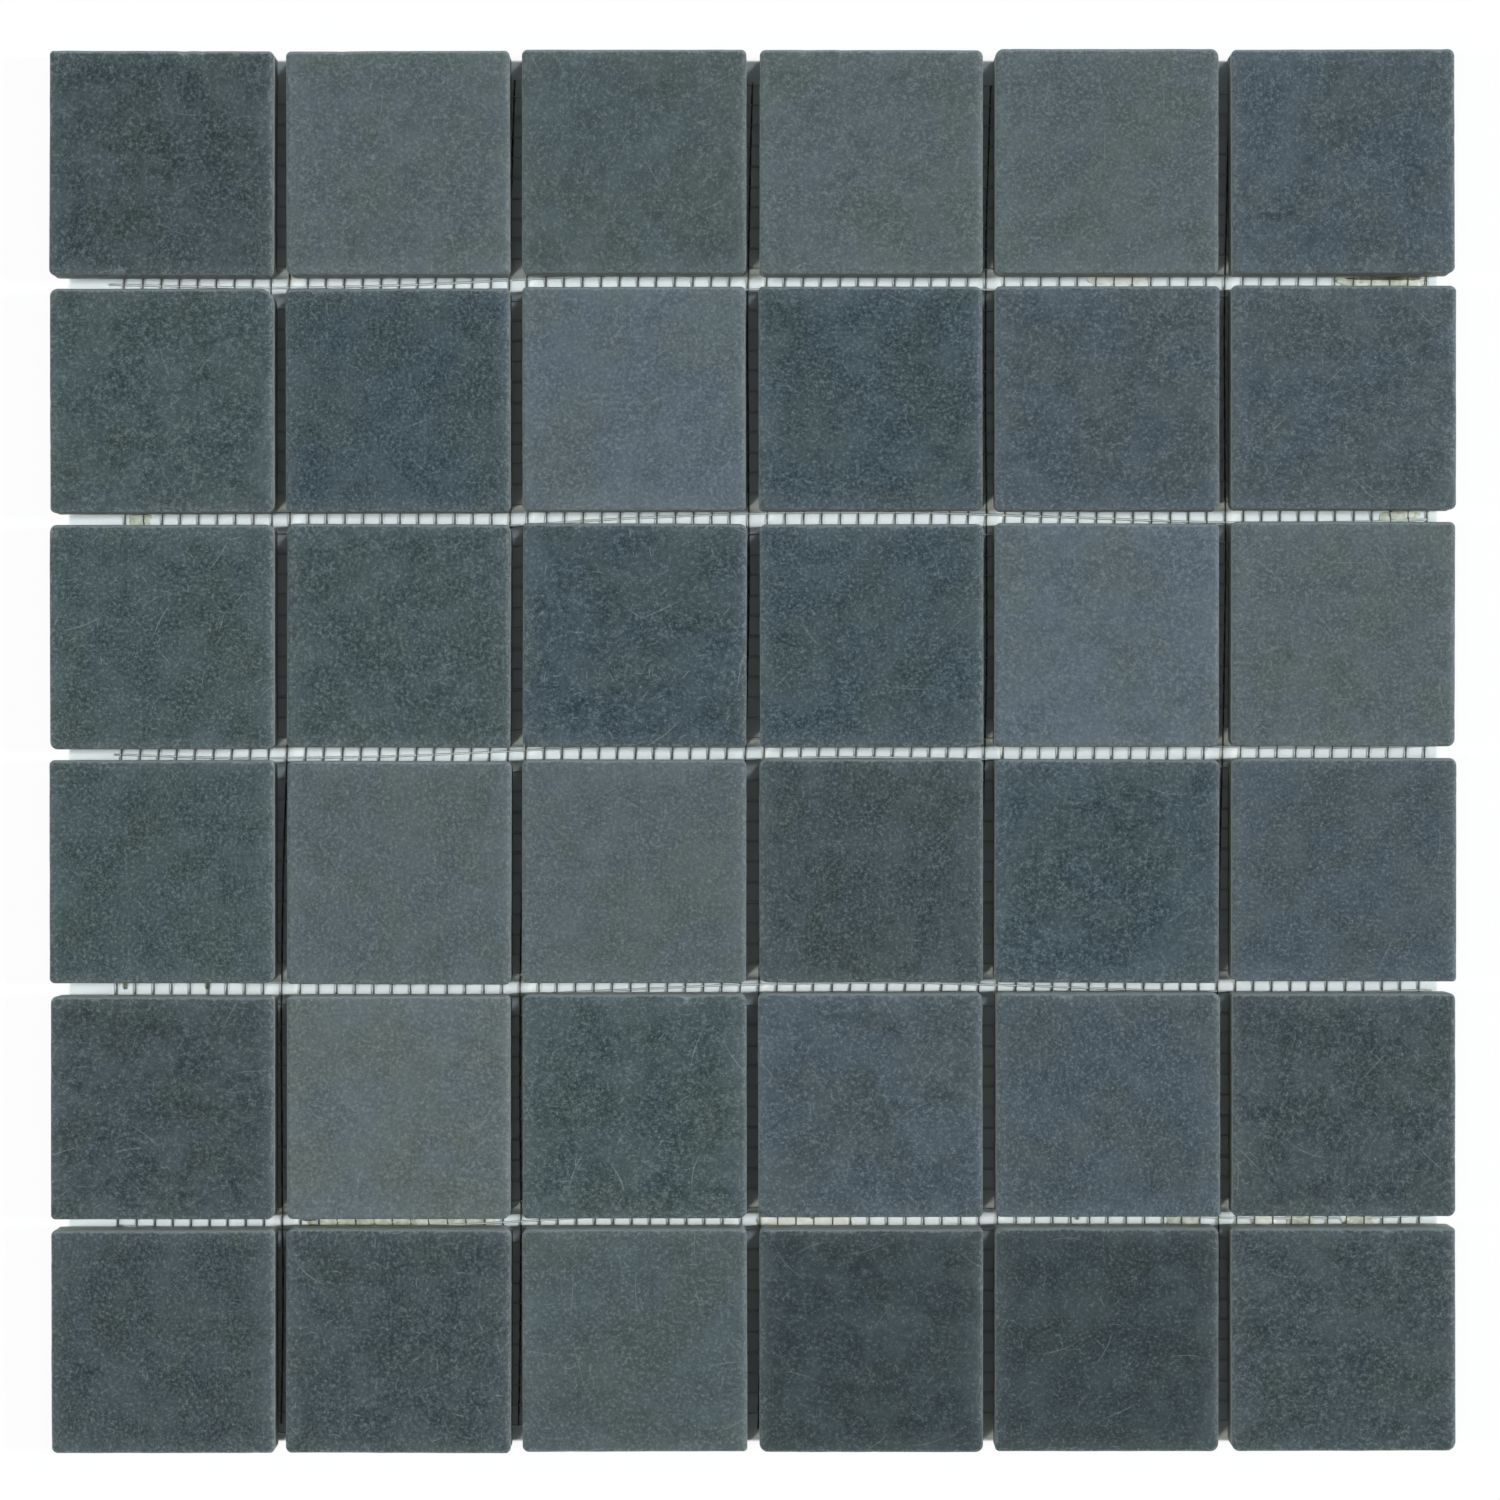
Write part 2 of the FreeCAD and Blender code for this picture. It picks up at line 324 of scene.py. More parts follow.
@dataclass(frozen=True)
class StoneFinish:
    """Tumbled basalt: sawn from the slab, then rolled with grit until its arrises are round.

    Pale grains stand in a dark ground, so the face is a fine speckle, which is fainter in smooth
    paler clouds. The grit left thin curved scratches and pale specks, and dust keeps to the worn
    border and to the sawn sides. The pale worn arrises also carry a painted highlight, and the pale
    dust on the sides also paints light onto the walls in the joints. The surface is dull with
    hardly any shine.
    """

    name: str
    ground: str
    grain: str
    grit: float
    haze: str = "#6d7e88"
    olive_and_painted_shade: str = "#fffdf0"
    # Pale colour of the worn border, the marks and the worn arrises, where it is also a painted
    # highlight
    bruise_and_highlight: str = "#8f9b9e"
    # Pale dust on the sawn sides and back, which on the sides also paints light onto the walls in
    # the joints
    dust_and_light: str = "#cdd1c7"
    cloud_mm: float = 15.0
    haze_mm: float = 9.0
    blotch_mm: float = 3.6
    grain_mm: float = 0.78
    crystal_mm: float = 0.42
    speck_cell_mm: float = 3.2
    border_mm: float = 1.7
    border: float = 0.15
    haze_share: float = 0.09
    roughness: float = 0.58
    shine: float = 0.25
    relief_mm: float = 0.05
    # How far apart the long and the short scratches are, half their length, their width in
    # millimetres, and the share of the places that have one
    scratches: tuple[tuple[float, ...], ...] = ((13.0, 5.6, 0.22, 0.35), (4.4, 1.5, 0.2, 0.22))
    stroke_bow: float = 0.25

    def strokes(
        self, tree: NodeTree, place: NodeSocket, cell_mm: float, half_mm: float, width_mm: float,
        kept: float,
    ) -> NodeSocket:
        """Scratches: one bent line across the middle of some cells of a Voronoi pattern.

        From the middle of its cell each point is turned by the cell's own angle. The line is where
        its place across, plus a bow times the square of its place along, is near nothing.

        Args:
            tree: the material's node tree.
            place: the pattern coordinates in millimetres.
            cell_mm: how far apart the scratches are.
            half_mm: half their length.
            width_mm: their width.
            kept: the share of the cells that have one.

        Returns:
            How much of a scratch there is, from 0 to 1.
        """
        cells = voronoi(tree, place, cell_mm, "2D")
        chance = add_node(tree, "SeparateColor", {"Color": cells["Color"]}).outputs
        inputs = {0: place, 1: cells["Position"]}
        apart = add_node(tree, "VectorMath", inputs, operation="SUBTRACT").outputs[0]
        inputs = {"Vector": apart, "Angle": calculate(tree, "MULTIPLY", chance[0], math.pi)}
        turned = add_node(tree, "VectorRotate", inputs, rotation_type="Z_AXIS").outputs[0]
        parts = add_node(tree, "SeparateXYZ", {0: turned}).outputs
        most = self.stroke_bow / half_mm
        bow = rescale(tree, chance[2], (0, 1), (-most, most))
        square = calculate(tree, "MULTIPLY", parts[0], parts[0])
        across = calculate(tree, "MULTIPLY_ADD", square, bow, parts[1])
        across = calculate(tree, "ABSOLUTE", across)
        along = calculate(tree, "ABSOLUTE", parts[0])
        thin = rescale(tree, across, (0.25 * width_mm, 0.75 * width_mm), (1, 0))
        ends = rescale(tree, along, (0.3 * half_mm, half_mm), (1, 0))
        there = calculate(tree, "LESS_THAN", chance[1], kept)
        line = calculate(tree, "MULTIPLY", thin, ends)
        return calculate(tree, "MULTIPLY", line, there)

    def material(self) -> Material:
        """Builds the stone from grain, clouds, haze, border, scratches, bruises and dust, with a
        painted highlight on the worn arrises and painted light in the dust on the sides.

        Returns:
            The material. It reads the piece's slab, inward and marked attributes, its wear with the
            painted arris highlight, and its dust with the painted light on the sides.
        """
        material, tree = new_material(self.name)
        inputs = {0: attribute(tree, "slab", "Vector"), "Scale": 1 / MM}
        place = add_node(tree, "VectorMath", inputs, operation="SCALE").outputs[0]
        inward, marked, wear_and_highlight, sawn_dust_and_light = (
            attribute(tree, name) for name in ("inward", "marked", "wear_and_highlight", "sawn_dust_and_light")
        )

        haze = noise(tree, place, self.haze_mm, 3.0, 0.55)
        calm = rescale(tree, haze, (0.4, 0.68), smooth=True)
        blotch = noise(tree, place, self.blotch_mm, 3.0, 0.6)
        grain = noise(tree, place, self.grain_mm, 2.0, 0.8)
        clumps = rescale(tree, grain, (0.43, 0.72), (0, 1.15))
        coarse = calculate(tree, "MULTIPLY_ADD", blotch, 0.9, clumps)
        crystal = voronoi(tree, place, self.crystal_mm)["Color"]
        facet = add_node(tree, "SeparateColor", {"Color": crystal}).outputs[0]
        pale = calculate(tree, "POWER", facet, 4.0)
        mixed = calculate(tree, "MULTIPLY_ADD", pale, 0.55, coarse)
        speckle = rescale(tree, mixed, (0.2, 1.62), (-1, 1))
        gain = rescale(tree, calm, (0, 1), (self.grit, 0.65 * self.grit))
        share = calculate(tree, "MULTIPLY_ADD", speckle, gain, 0.5)
        colour = blend(tree, share, self.ground, self.grain)

        cloud = noise(tree, place, self.cloud_mm, 2.0, 0.55)
        tint = rescale(tree, cloud, (0.38, 0.62), smooth=True)
        colour = blend(tree, tint, colour, self.olive_and_painted_shade, "MULTIPLY")
        misty = calculate(tree, "MULTIPLY", calm, self.haze_share)
        colour = blend(tree, misty, colour, self.haze)

        fade = calculate(tree, "MULTIPLY", inward, -1 / (self.border_mm * MM))
        near = calculate(tree, "EXPONENT", fade)
        rim = calculate(tree, "MULTIPLY", near, self.border)
        colour = blend(tree, rim, colour, self.bruise_and_highlight)

        spot = voronoi(tree, place, self.speck_cell_mm, "2D")["Distance"]
        marks = rescale(tree, spot, (0.01, 0.075), (1, 0))
        for stroke in self.scratches:
            marks = calculate(tree, "MAXIMUM", marks, self.strokes(tree, place, *stroke))
        seen = calculate(tree, "MULTIPLY", marks, marked)
        colour = blend(tree, seen, colour, self.bruise_and_highlight)

        # Worn arrises, paler, and a painted highlight on them in the same pale colour
        rubbed_and_highlit = calculate(tree, "MULTIPLY_ADD", speckle, 0.45, wear_and_highlight)
        bruised_and_highlit = rescale(tree, rubbed_and_highlit, (0.2, 1.6), (0, 0.62))
        colour = blend(tree, bruised_and_highlit, colour, self.bruise_and_highlight)
        # Dust on the sawn sides and back; on the sides it is also painted light
        patchy = rescale(tree, mixed, (0.2, 1.6), (0.7, 1.25))
        dusted_and_lit = calculate(tree, "MULTIPLY", sawn_dust_and_light, patchy)
        colour = blend(tree, dusted_and_lit, colour, self.dust_and_light)

        dull = rescale(tree, speckle, (-1, 1), (self.roughness + 0.1, self.roughness - 0.08))
        surface = {"Roughness": dull, "IOR": 1.5, "Specular IOR Level": self.shine}
        finish(tree, colour, coarse, (0.6, self.relief_mm * MM), surface)
        return material


class Shade(Enum):
    """The greys that the chips come in, from nearly black to pale, each bluish or neutral."""

    COAL = StoneFinish("basalt_tumbled_coal", "#19272b", "#38464c", 0.58)
    SOOT = StoneFinish("basalt_tumbled_soot", "#1d2b30", "#47555a", 0.6)
    INK = StoneFinish("basalt_tumbled_ink", "#1c2d36", "#485962", 0.62)
    SLATE = StoneFinish("basalt_tumbled_slate", "#213135", "#4d5d61", 0.64)
    STEEL = StoneFinish("basalt_tumbled_steel", "#28363f", "#505e67", 0.56)
    FLINT = StoneFinish("basalt_tumbled_flint", "#2e3c3f", "#526064", 0.5)
    ASH = StoneFinish("basalt_tumbled_ash", "#374449", "#5b686d", 0.5)
    MIST = StoneFinish("basalt_tumbled_mist", "#3a4852", "#5e6c76", 0.5)
    FAWN = StoneFinish("basalt_tumbled_fawn", "#3e4a4e", "#626e72", 0.5)


@dataclass(frozen=True)
class YarnFinish:
    """Glass-fibre yarn dipped in an alkali-proof coat: fine filaments side by side, stuck together.

    That gives fine streaks along the yarn, a light unevenness where the coat is thick, and a
    soft sheen.
    """

    name: str
    light: str
    shadow: str
    filaments: float = 3.0
    streak_mm: float = 4.0
    relief_mm: float = 0.04
    roughness: float = 0.5

    def material(self) -> Material:
        """Builds the yarn from streaks along it, read from the piece's lay attribute.

        Returns:
            The material.
        """
        material, tree = new_material(self.name)
        stretch = (1 / (self.streak_mm * MM), self.filaments, 1.0)
        inputs = {0: attribute(tree, "lay", "Vector"), 1: stretch}
        stretched = add_node(tree, "VectorMath", inputs, operation="MULTIPLY").outputs[0]
        streak = noise(tree, stretched, 1.0, 3.0, 0.6)
        colour = blend(tree, rescale(tree, streak, (0.35, 0.68)), self.shadow, self.light)
        surface = {"Roughness": self.roughness, "IOR": 1.5}
        finish(tree, colour, streak, (0.5, self.relief_mm * MM), surface)
        return material


@dataclass(frozen=True)
class AdhesiveFinish:
    """Set synthetic adhesive, squeezed thin between the net and the stone.

    That gives a cloudy cream to olive film, darker where it is thin, with a lumpy soft gloss.
    The olive film is also painted shade where it lies under a chip's edge.
    """

    name: str
    thick: str
    thin: str
    cloud_mm: float = 2.2
    relief_mm: float = 0.12
    roughness: float = 0.42

    def material(self) -> Material:
        """Builds the adhesive from clouds and fine lumps in the sheet's own coordinates.

        Returns:
            The material.
        """
        material, tree = new_material(self.name)
        place = add_node(tree, "TexCoord").outputs["Object"]
        cloud = noise(tree, place, self.cloud_mm * MM, 4.0, 0.6)
        colour = blend(tree, rescale(tree, cloud, (0.36, 0.62)), self.thin, self.thick)
        surface = {"Roughness": self.roughness, "IOR": 1.48}
        finish(tree, colour, cloud, (0.5, self.relief_mm * MM), surface)
        return material


class Yarn(Enum):
    """The two yarns of the net."""

    WARP = YarnFinish("glass_yarn_dark_coat", "#6d7268", "#454a41")
    WEFT = YarnFinish("glass_roving_clear_coat", "#ecf4f4", "#bfcbca")


class Adhesive(Enum):
    """How thickly the adhesive lies, which sets its colour; the olive kind along a joint's upper
    edge is painted shade.
    """

    CREAM = AdhesiveFinish("adhesive_thick_cream", "#eff5f0", "#e2e7da")
    SAGE = AdhesiveFinish("adhesive_thin_sage", "#e2eadc", "#b3bda8")
    # Olive smears, and painted shade under a chip's edge where olive lies at a joint's upper edge
    OLIVE_AND_PAINTED_SHADE = AdhesiveFinish("adhesive_olive_smear_and_painted_shade", "#848a72", "#505641")
    FILM = AdhesiveFinish("adhesive_film_on_stone", "#a3aa9c", "#6c746b", cloud_mm=4.0)


# Stone chips


class Side(IntEnum):
    """The sides of a chip in the order in which its outline runs."""

    RIGHT = 0
    TOP = 1
    LEFT = 2
    BOTTOM = 3


@dataclass(frozen=True)
class Nick:
    """A place where an arris has broken away.

    Args:
        chip: the chip's row and column.
        side: the side whose arris is broken.
        along: how far to the right of the chip's centre it is, in millimetres.
        depth: how much it adds to the arris, in millimetres.
        width: how far it spreads, in millimetres.
    """

    chip: tuple[int, int]
    side: Side
    along: float
    depth: float
    width: float


# Chips whose faces carry more scratches than the others
SCRATCHED = {(3, 1), (3, 3), (5, 3), (6, 2)}

# The one chip whose upper right corner is worn much rounder than the others, and its radius
BLUNT_CHIP = (2, 1)
BLUNT_RADIUS = 3.2 * MM

NICKS = (
    Nick((1, 1), Side.BOTTOM, -9.7, 1.0, 2.0),
    Nick((1, 1), Side.TOP, 4.8, 0.8, 1.2),
    Nick((1, 4), Side.BOTTOM, -15.2, 0.9, 1.3),
    Nick((3, 2), Side.BOTTOM, -12.5, 1.0, 1.5),
    Nick((5, 3), Side.TOP, 11.6, 0.9, 1.4),
    Nick((4, 5), Side.BOTTOM, -9.2, 0.8, 1.3),
    Nick((5, 5), Side.TOP, -9.2, 0.9, 1.4),
    Nick((1, 6), Side.BOTTOM, -7.3, 0.8, 1.3),
    Nick((6, 6), Side.TOP, 9.8, 0.9, 1.5),
)


@dataclass
class StoneChip:
    """One chip of stone on its CAD node, with its own wear and a painted highlight on its arrises.

    The outline is a rounded square. Rings of it run from the middle of the face over the arris,
    down the side and round the back, so the surface is a grid of rings by steps round the outline.
    """

    row: int
    column: int
    shade: Shade
    arris: float = 1.12 * MM
    arris_spread: float = 0.25 * MM
    # How pale each side's arris is, right, top, left and bottom: wear, and a painted highlight that
    # is strongest on the top arris
    rubbing_and_highlight: tuple[float, ...] = (1.2, 3.4, 1.3, 1.2)
    # How pale each side is, right, top, left and bottom: dust, and painted light on the walls in
    # the joints
    dusting_and_light: tuple[float, ...] = (0.35, 1.0, 0.35, 0.2)
    outer_dust_and_light: float = 0.08
    corner_least: float = 0.9 * MM
    corner_most: float = 1.9 * MM
    corner_floor: float = 0.35 * MM
    corner_draw: float = 0.7
    back_arris: float = 0.4 * MM
    back_dust: float = 0.3
    back_wear: float = 0.5
    nick_wear: float = 0.4
    nick_fade: float = 0.5 * MM
    # The shape of the wear and the painted highlight over the arris
    rub_and_highlight_most: float = 1.15
    rub_and_highlight_low: float = 0.45
    # How far the dust, with its painted light, climbs onto the arris
    dust_and_light_rise: float = 4.0
    marked: tuple[float, float] = (0.1, 0.24)
    scratched: float = 0.32
    wave: float = 0.07 * MM
    rim_waves: tuple[int, ...] = (3, 7, 12, 19, 31)
    side_waves: tuple[int, ...] = (5, 11, 17, 29, 41)
    arris_waves: tuple[int, ...] = (2, 3, 5, 9, 14, 23)
    nick_count: int = 5
    nick_widths: tuple[float, float] = (0.5, 1.3)
    nick_depths: tuple[float, float] = (0.1, 0.45)
    side_steps: int = 72
    corner_steps: int = 10
    arris_steps: int = 7
    face_rings: tuple[float, ...] = (0.35, 0.72, 0.9, 0.965)
    side_rings: tuple[float, ...] = (0.33, 0.67, 1.0)
    back_rings: tuple[float, ...] = (0.5, 1.0)
    back_inner: float = 0.85

    @property
    def node(self) -> str:
        """The CAD node that this chip stands for."""
        return f"chip_r{self.row}_c{self.column}"

    def outline(self, seat: Seat, inset: np.ndarray, corners: np.ndarray) -> np.ndarray:
        """A rounded rectangle, drawn in by an inset that may change round it.

        Side k has an outward normal and a tangent to its left. A point on the side is the normal
        times the half size less the inset, plus the tangent times a length that runs from the last
        corner's arc to the next. On the corner's arc the radius times the cosine of the angle is
        taken along the normal and the radius times its sine along the tangent.

        Args:
            seat: the chip's seat.
            inset: the inset at each step, four sides by steps.
            corners: the radius of the corner after each side.

        Returns:
            The outline's points about the chip's centre, four sides by steps by two.
        """
        half = (seat.high - seat.low)[:2] / 2
        outwards = np.tile(half, 2)[:, None]
        sideways = np.tile(half[::-1], 2)[:, None]
        normal = np.array([[1, 0], [0, 1], [-1, 0], [0, -1]], float)[:, None, :]
        tangent = np.array([[0, 1], [-1, 0], [0, -1], [1, 0]], float)[:, None, :]
        side, arc = (np.arange(count) / count for count in (self.side_steps, self.corner_steps))
        run = np.append(side, np.ones_like(arc))
        angle = np.append(np.zeros_like(side), arc * math.pi / 2)
        after, before = (
            np.maximum(corner[:, None] - self.corner_draw * inset, self.corner_floor)
            for corner in (corners, np.roll(corners, 1))
        )
        start = -(sideways - inset - before)
        end = sideways - inset - after
        out = outwards - inset - after * (1 - np.cos(angle))
        left = start + (end - start) * run + after * np.sin(angle)
        return normal * out[..., None] + tangent * left[..., None]

    def side_dust_and_light(self) -> list[float]:
        """How pale each side is from dust, and from painted light on the walls in the joints: less
        on the sheet's outside.
        """
        outside = (self.column == 6, self.row == 1, self.column == 1, self.row == 6)
        return [self.outer_dust_and_light if out else dust_and_light for out, dust_and_light in zip(outside, self.dusting_and_light)]

    def by_side(self, values: Sequence[float]) -> np.ndarray:
        """Spreads a value for each side round the outline.

        Along a side the value is its own. Along the corner's arc it changes evenly to that of the
        next side.

        Args:
            values: one number for each side.

        Returns:
            Four sides by steps.
        """
        own = np.array(values)[:, None]
        arc = np.arange(self.corner_steps) / self.corner_steps
        return own + (np.roll(own, -1, axis=0) - own) * np.append(np.zeros(self.side_steps), arc)

    def arris_round(
        self, rng: np.random.Generator, rim: np.ndarray, turn: np.ndarray
    ) -> np.ndarray:
        """The arris radius round the outline: a slow wave, and a bell added at each nick.

        Args:
            rng: the source of the random nicks.
            rim: the outline's points about the chip's centre.
            turn: how far round the outline each point is.

        Returns:
            The radius at each point.
        """
        wander = periodic_noise(rng, turn, self.arris_waves) - 0.5
        radius = self.arris + 2 * self.arris_spread * wander
        top = rim[..., 1].max()
        bells = [
            (nick.along * MM, top if nick.side is Side.TOP else -top, nick.width, nick.depth)
            for nick in NICKS
            if nick.chip == (self.row, self.column)
        ]
        for _ in range(self.nick_count):
            spot = rim[rng.integers(4), rng.integers(self.side_steps)]
            bells.append((*spot, rng.uniform(*self.nick_widths), rng.uniform(*self.nick_depths)))
        for across, up, width, depth in bells:
            reach = np.hypot(rim[..., 0] - across, rim[..., 1] - up)
            radius = radius + depth * MM * np.exp(-((reach / (width * MM)) ** 2))
        return radius

    def build(self, material: Material) -> Object:
        """Builds the chip's surface, its pattern coordinates, its wear with a painted highlight on
        the arrises, and its dust with painted light on the sides.

        On the arris, at an angle t from the face, a ring is drawn in by the radius times one less
        the sine of t, and lies below the face by the radius times one less the cosine of t.

        Args:
            material: the stone of the chip's shade.

        Returns:
            The chip.
        """
        rng = np.random.default_rng([self.row, self.column, 11])
        seat = Seat.of(self.node)
        corners = rng.uniform(self.corner_least, self.corner_most, 4)
        if (self.row, self.column) == BLUNT_CHIP:
            corners[Side.RIGHT] = BLUNT_RADIUS
        steps = self.side_steps + self.corner_steps
        turn = (np.arange(4 * steps) / (4 * steps)).reshape(4, steps)
        rim = self.outline(seat, np.zeros((4, steps)), corners)
        radius = self.arris_round(rng, rim, turn)
        waves = self.wave * periodic_noise(rng, turn, self.rim_waves)
        top, base = seat.high[2], seat.low[2]
        nicked = np.clip((radius - self.arris - self.arris_spread) / self.nick_fade, 0, 1)
        # Each side's wear with its painted highlight, and its dust with its painted light, round
        # the outline
        rubbing_and_highlight, dusting_and_light = self.by_side(self.rubbing_and_highlight), self.by_side(self.side_dust_and_light())

        rings: list[tuple[np.ndarray, ...]] = []

        def add_ring(inset: np.ndarray, *values: Any, share: float = 1.0) -> None:
            """Adds a ring from its inset, and its height, wear with painted highlight and dust with
            painted light, as one number or many.
            """
            spread = (np.broadcast_to(value, turn.shape) for value in values)
            rings.append((self.outline(seat, inset, corners) * share, *spread))

        for share in self.face_rings:
            add_ring(radius + waves, top, 0.0, 0.0, share=share)
        for angle in np.linspace(0, math.pi / 2, self.arris_steps):
            sine = math.sin(angle)
            # Over the arris: wear, and a painted highlight
            rubbed_and_highlit = rubbing_and_highlight * sine**2 * (self.rub_and_highlight_most - self.rub_and_highlight_low * sine**8)
            add_ring(
                radius * (1 - sine) + waves,
                top - radius * (1 - math.cos(angle)),
                rubbed_and_highlit + self.nick_wear * nicked,
                dusting_and_light * max(0.0, self.dust_and_light_rise * (angle / (math.pi / 2) - 1) + 1),
            )
        shoulder, foot = top - radius, base + self.back_arris
        for share in self.side_rings:
            inset = waves + self.wave * periodic_noise(rng, turn, self.side_waves)
            add_ring(inset, shoulder + (foot - shoulder) * share, 0.0, dusting_and_light)
        for share in self.back_rings:
            back = waves + self.wave + self.back_arris * share**2
            add_ring(back, foot - self.back_arris * share, self.back_wear, dusting_and_light)
        add_ring(back, base, 0.0, self.back_dust, share=self.back_inner)

        plan, height, wear_and_highlight, sawn_dust_and_light = (np.stack(parts) for parts in zip(*rings))
        count = 4 * steps
        local = np.column_stack([plan.reshape(-1, 2), height.ravel()])
        local = np.vstack([local, [0, 0, top], [0, 0, base]])
        centre = np.append((seat.low + seat.high)[:2] / 2, 0)
        first, last = np.arange(count), np.arange(count) + (len(rings) - 1) * count
        fans = [fan(len(local) - 2, first), fan(len(local) - 1, last[::-1])]
        quarter = Seat.turned(local, rng.integers(4) * math.pi / 2)
        half = (seat.high - seat.low)[:2] / 2
        inward = np.clip((half - np.abs(local[:, :2])).min(axis=1), 0, None)
        marked = rng.uniform(*self.marked)
        if (self.row, self.column) in SCRATCHED:
            marked = self.scratched
        piece = new_piece(
            f"stone_{self.node}",
            seat.placed(local + centre),
            [ring_faces(len(rings), count), *fans],
            material,
            {
                "slab": quarter + rng.uniform(0.1, 0.9, 3),
                "inward": inward,
                "marked": np.full(len(local), marked),
                "wear_and_highlight": np.append(wear_and_highlight, [0, 0]),
                "sawn_dust_and_light": np.append(sawn_dust_and_light, [0, self.back_dust]),
            },
        )
        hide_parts(self.node)
        return piece


@dataclass
class StoneChips:
    """The six rows of chips, each chip in its own shade. Row 1 is at the sheet's top."""

    rows: tuple[str, ...] = (
        "SOOT ASH FLINT ASH ASH STEEL",
        "SLATE INK MIST INK STEEL STEEL",
        "SLATE SLATE INK INK MIST ASH",
        "SLATE ASH ASH SOOT INK STEEL",
        "SOOT FAWN SLATE STEEL STEEL SOOT",
        "SOOT SOOT FLINT COAL COAL SOOT",
    )

    def build(self) -> list[Object]:
        """Builds every chip, row by row.

        Returns:
            The chips.
        """
        stones = {shade: shade.value.material() for shade in Shade}
        chips = []
        for row, names in enumerate(self.rows, start=1):
            for column, name in enumerate(names.split(), start=1):
                chip = StoneChip(row, column, Shade[name])
                chips.append(chip.build(stones[chip.shade]))
        return chips


# Net


@dataclass
class Net:
    """The leno net: two warp strands twist round each other and grip a flat weft at every crossing.

    Each yarn is a closed four-sided tube along a path. The paths come from the CAD yarns: their
    pitch, turn and ends are measured, and the yarns wander a little to either side of them.
    """

    warp_node: str = "net_warp_yarns"
    weft_node: str = "net_weft_yarns"
    strand_width: float = 0.27 * MM
    strand_thickness: float = 0.14 * MM
    twist_side: float = 0.08 * MM
    weft_thickness: float = 0.17 * MM
    weft_pinch: float = 0.16
    weft_widths: tuple[float, float] = (0.86, 1.0)
    # How far each kind of yarn bows as the cut net was pulled, the bow's length and its peak
    weft_bow: tuple[float, float, float] = (1.65 * MM, 220 * MM, 15 * MM)
    warp_bow: tuple[float, float, float] = (0.45 * MM, 150 * MM, 25 * MM)
    wander: float = 0.16 * MM
    # The lengths and shares of the slow waves, and how far their phase creeps from yarn to yarn
    drifts: tuple[tuple[float, float], ...] = ((190 * MM, 0.5), (83 * MM, 0.3), (37 * MM, 0.2))
    creep: float = 0.21
    middle: float = 0.25 * MM
    play: float = 0.01 * MM
    streak_step: float = 7.3
    samples_warp: int = 4
    samples_weft: int = 3

    @staticmethod
    def sides(seat: Seat, axis: int) -> np.ndarray:
        """The places of the sides of a node's yarns across the net, rounded to 0.01 mm."""
        return np.unique(np.round(seat.points[:, axis] / (0.01 * MM))) * 0.01 * MM

    def lines(self, seat: Seat, axis: int) -> np.ndarray:
        """The middle of each yarn across the net, from the pairs of sides found there."""
        return self.sides(seat, axis).reshape(-1, 2).mean(axis=1)

    @staticmethod
    def places(seat: Seat, axis: int, pitch: float, samples: int) -> np.ndarray:
        """The places along a node's yarns, about so many samples for each pitch."""
        low, high = seat.low[axis], seat.high[axis]
        return np.linspace(low, high, int(round((high - low) / pitch * samples)) + 1)

    def drift(
        self, rng: np.random.Generator, count: int, along: np.ndarray, bow: tuple[float, ...]
    ) -> np.ndarray:
        """How far yarns stray from their straight lines in the CAD.

        All yarns of a kind share one long bow. To it come slow waves whose phases creep from yarn
        to yarn, and a small offset of each yarn's own.

        Args:
            rng: the source of the phases.
            count: how many yarns there are.
            along: the places along the yarns.
            bow: the shared bow's size, length and peak.

        Returns:
            Yarns by places.
        """
        size, bow_length, peak = bow
        order = np.arange(count)[:, None]
        total = np.zeros((count, len(along)))
        for length, share in self.drifts:
            phase = rng.uniform(0, 2 * math.pi) + self.creep * order
            total += share * np.sin(2 * math.pi * along / length + phase)
        own = rng.uniform(-0.5, 0.5, (count, 1))
        bowed = size * np.cos(2 * math.pi * (along - peak) / bow_length)
        return bowed + self.wander * (total + own)

    def yarns(
        self, name: str, seat: Seat, axis: int, path: np.ndarray, half_width: np.ndarray,
        half_height: float, material: Material,
    ) -> Object:
        """Makes closed tubes: right, top, left and bottom of an ellipse at each place of a path.

        Their pattern coordinates are the length along, -1 to 1 across, and a number for the yarn.

        Args:
            name: the piece's name.
            seat: the node's seat.
            axis: the axis along the yarns.
            path: yarns by places by three, the middle of each yarn.
            half_width: half the width, yarns by places.
            half_height: half the thickness.
            material: the yarn's finish.

        Returns:
            The yarns as one piece.
        """
        yarns, places = path.shape[:2]
        angle = np.arange(4) * math.pi / 2
        points = np.repeat(path[:, :, None, :], 4, axis=2)
        points[..., 1 - axis] += np.cos(angle) * half_width[..., None]
        points[..., 2] += np.sin(angle) * half_height
        walls = ring_faces(places, 4)
        caps = np.array([[0, 3, 2, 1], [0, 1, 2, 3]])[:, ::-1]
        caps[1] += (places - 1) * 4
        starts = (np.arange(yarns) * places * 4)[:, None, None]
        faces = [(part + starts).reshape(-1, 4) for part in (walls, caps)]
        if axis == 0:
            faces = [part[:, ::-1] for part in faces]
        length = points[..., axis]
        number = np.arange(yarns)[:, None, None] * self.streak_step
        lay = [np.broadcast_to(part, length.shape) for part in (length, np.cos(angle), number)]
        return new_piece(
            name, seat.placed(points).reshape(-1, 3), faces, material,
            {"lay": np.stack(lay, -1).reshape(-1, 3)},
        )

